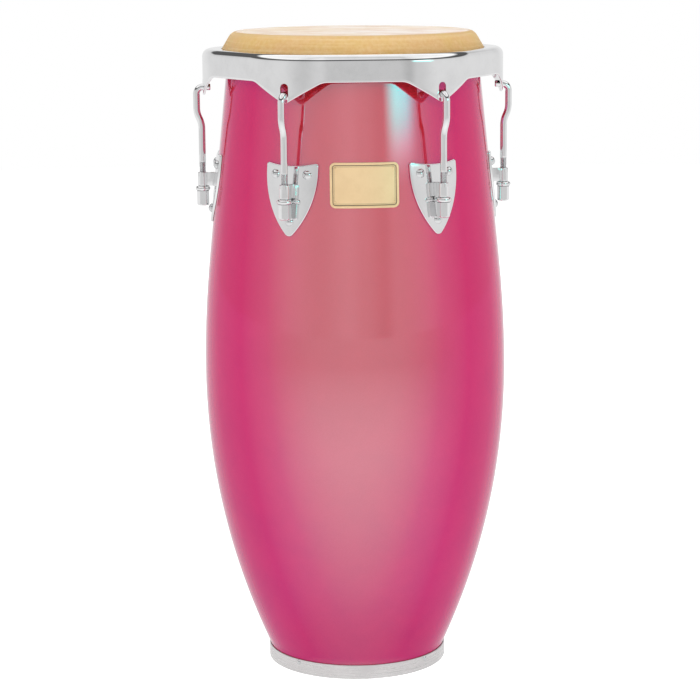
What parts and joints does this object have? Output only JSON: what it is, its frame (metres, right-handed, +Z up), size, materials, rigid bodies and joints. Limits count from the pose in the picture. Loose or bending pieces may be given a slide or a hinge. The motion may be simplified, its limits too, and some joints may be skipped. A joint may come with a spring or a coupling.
{
  "type": "conga drum",
  "caption": "Tall tapered hand drum with a rawhide head on a hexagonal rim, drawn down by hooked threaded lugs in shield-shaped side plates.",
  "frame": {"origin": "middle of the foot, on the floor", "axes": "+Z up along the drum's axis, -Y towards the badge at the front"},
  "size_m": [0.378, 0.3604, 0.762],
  "materials": {
    "shell": "pearl red gel coat over moulded glass fibre",
    "plated": "mirror plated steel",
    "band": "satin plated steel",
    "skin": "natural rawhide",
    "badge": "brushed, plain",
    "fastener": "plated steel fasteners",
    "hidden_steel": "zinc plated steel"
  },
  "bodies": {
    "shell": {"shell": "shell", "base_band": "band", "base_band_screws": "fastener", "badge_plate": "badge", "badge_pins": "badge", "side_plate_bolts": "fastener", "side_plate_washers": "hidden_steel", "side_plate_nuts": "hidden_steel", "head_skin": "skin", "flesh_hoop": "hidden_steel", "side_plate_1": "plated", "lug_bracket_1": "plated", "backing_plate_1": "hidden_steel", "side_plate_2": "plated", "lug_bracket_2": "plated", "backing_plate_2": "hidden_steel", "side_plate_3": "plated", "lug_bracket_3": "plated", "backing_plate_3": "hidden_steel", "side_plate_4": "plated", "lug_bracket_4": "plated", "backing_plate_4": "hidden_steel", "side_plate_5": "plated", "lug_bracket_5": "plated", "backing_plate_5": "hidden_steel", "side_plate_6": "plated", "lug_bracket_6": "plated", "backing_plate_6": "hidden_steel"},
    "rim": {"rim": "plated", "lug_1": "plated", "lug_2": "plated", "lug_3": "plated", "lug_4": "plated", "lug_5": "plated", "lug_6": "plated"},
    "tuning_nut_1": {"tuning_nut_1": "plated"},
    "tuning_nut_2": {"tuning_nut_2": "plated"},
    "tuning_nut_3": {"tuning_nut_3": "plated"},
    "tuning_nut_4": {"tuning_nut_4": "plated"},
    "tuning_nut_5": {"tuning_nut_5": "plated"},
    "tuning_nut_6": {"tuning_nut_6": "plated"}
  },
  "joints": [
    {"name": "rim_lift", "type": "slide", "parent": "shell", "child": "rim", "axis": [0, 0, 1], "range_m": [0, 0.012]},
    {"name": "nut_turn_1", "type": "hinge", "parent": "shell", "child": "tuning_nut_1", "pos_m": [0.08965, -0.15528, 0.567], "axis": [0, 0, 1], "range_deg": [-3460, 0]},
    {"name": "nut_turn_2", "type": "hinge", "parent": "shell", "child": "tuning_nut_2", "pos_m": [0.1793, 0, 0.567], "axis": [0, 0, 1], "range_deg": [-3460, 0]},
    {"name": "nut_turn_3", "type": "hinge", "parent": "shell", "child": "tuning_nut_3", "pos_m": [0.08965, 0.15528, 0.567], "axis": [0, 0, 1], "range_deg": [-3460, 0]},
    {"name": "nut_turn_4", "type": "hinge", "parent": "shell", "child": "tuning_nut_4", "pos_m": [-0.08965, 0.15528, 0.567], "axis": [0, 0, 1], "range_deg": [-3460, 0]},
    {"name": "nut_turn_5", "type": "hinge", "parent": "shell", "child": "tuning_nut_5", "pos_m": [-0.1793, 0, 0.567], "axis": [0, 0, 1], "range_deg": [-3460, 0]},
    {"name": "nut_turn_6", "type": "hinge", "parent": "shell", "child": "tuning_nut_6", "pos_m": [-0.08965, -0.15528, 0.567], "axis": [0, 0, 1], "range_deg": [-3460, 0]}
  ],
  "couplings": [
    {"joint": "nut_turn_1", "follows": "rim_lift", "rad_per_m": -5026.5},
    {"joint": "nut_turn_2", "follows": "rim_lift", "rad_per_m": -5026.5},
    {"joint": "nut_turn_3", "follows": "rim_lift", "rad_per_m": -5026.5},
    {"joint": "nut_turn_4", "follows": "rim_lift", "rad_per_m": -5026.5},
    {"joint": "nut_turn_5", "follows": "rim_lift", "rad_per_m": -5026.5},
    {"joint": "nut_turn_6", "follows": "rim_lift", "rad_per_m": -5026.5}
  ]
}
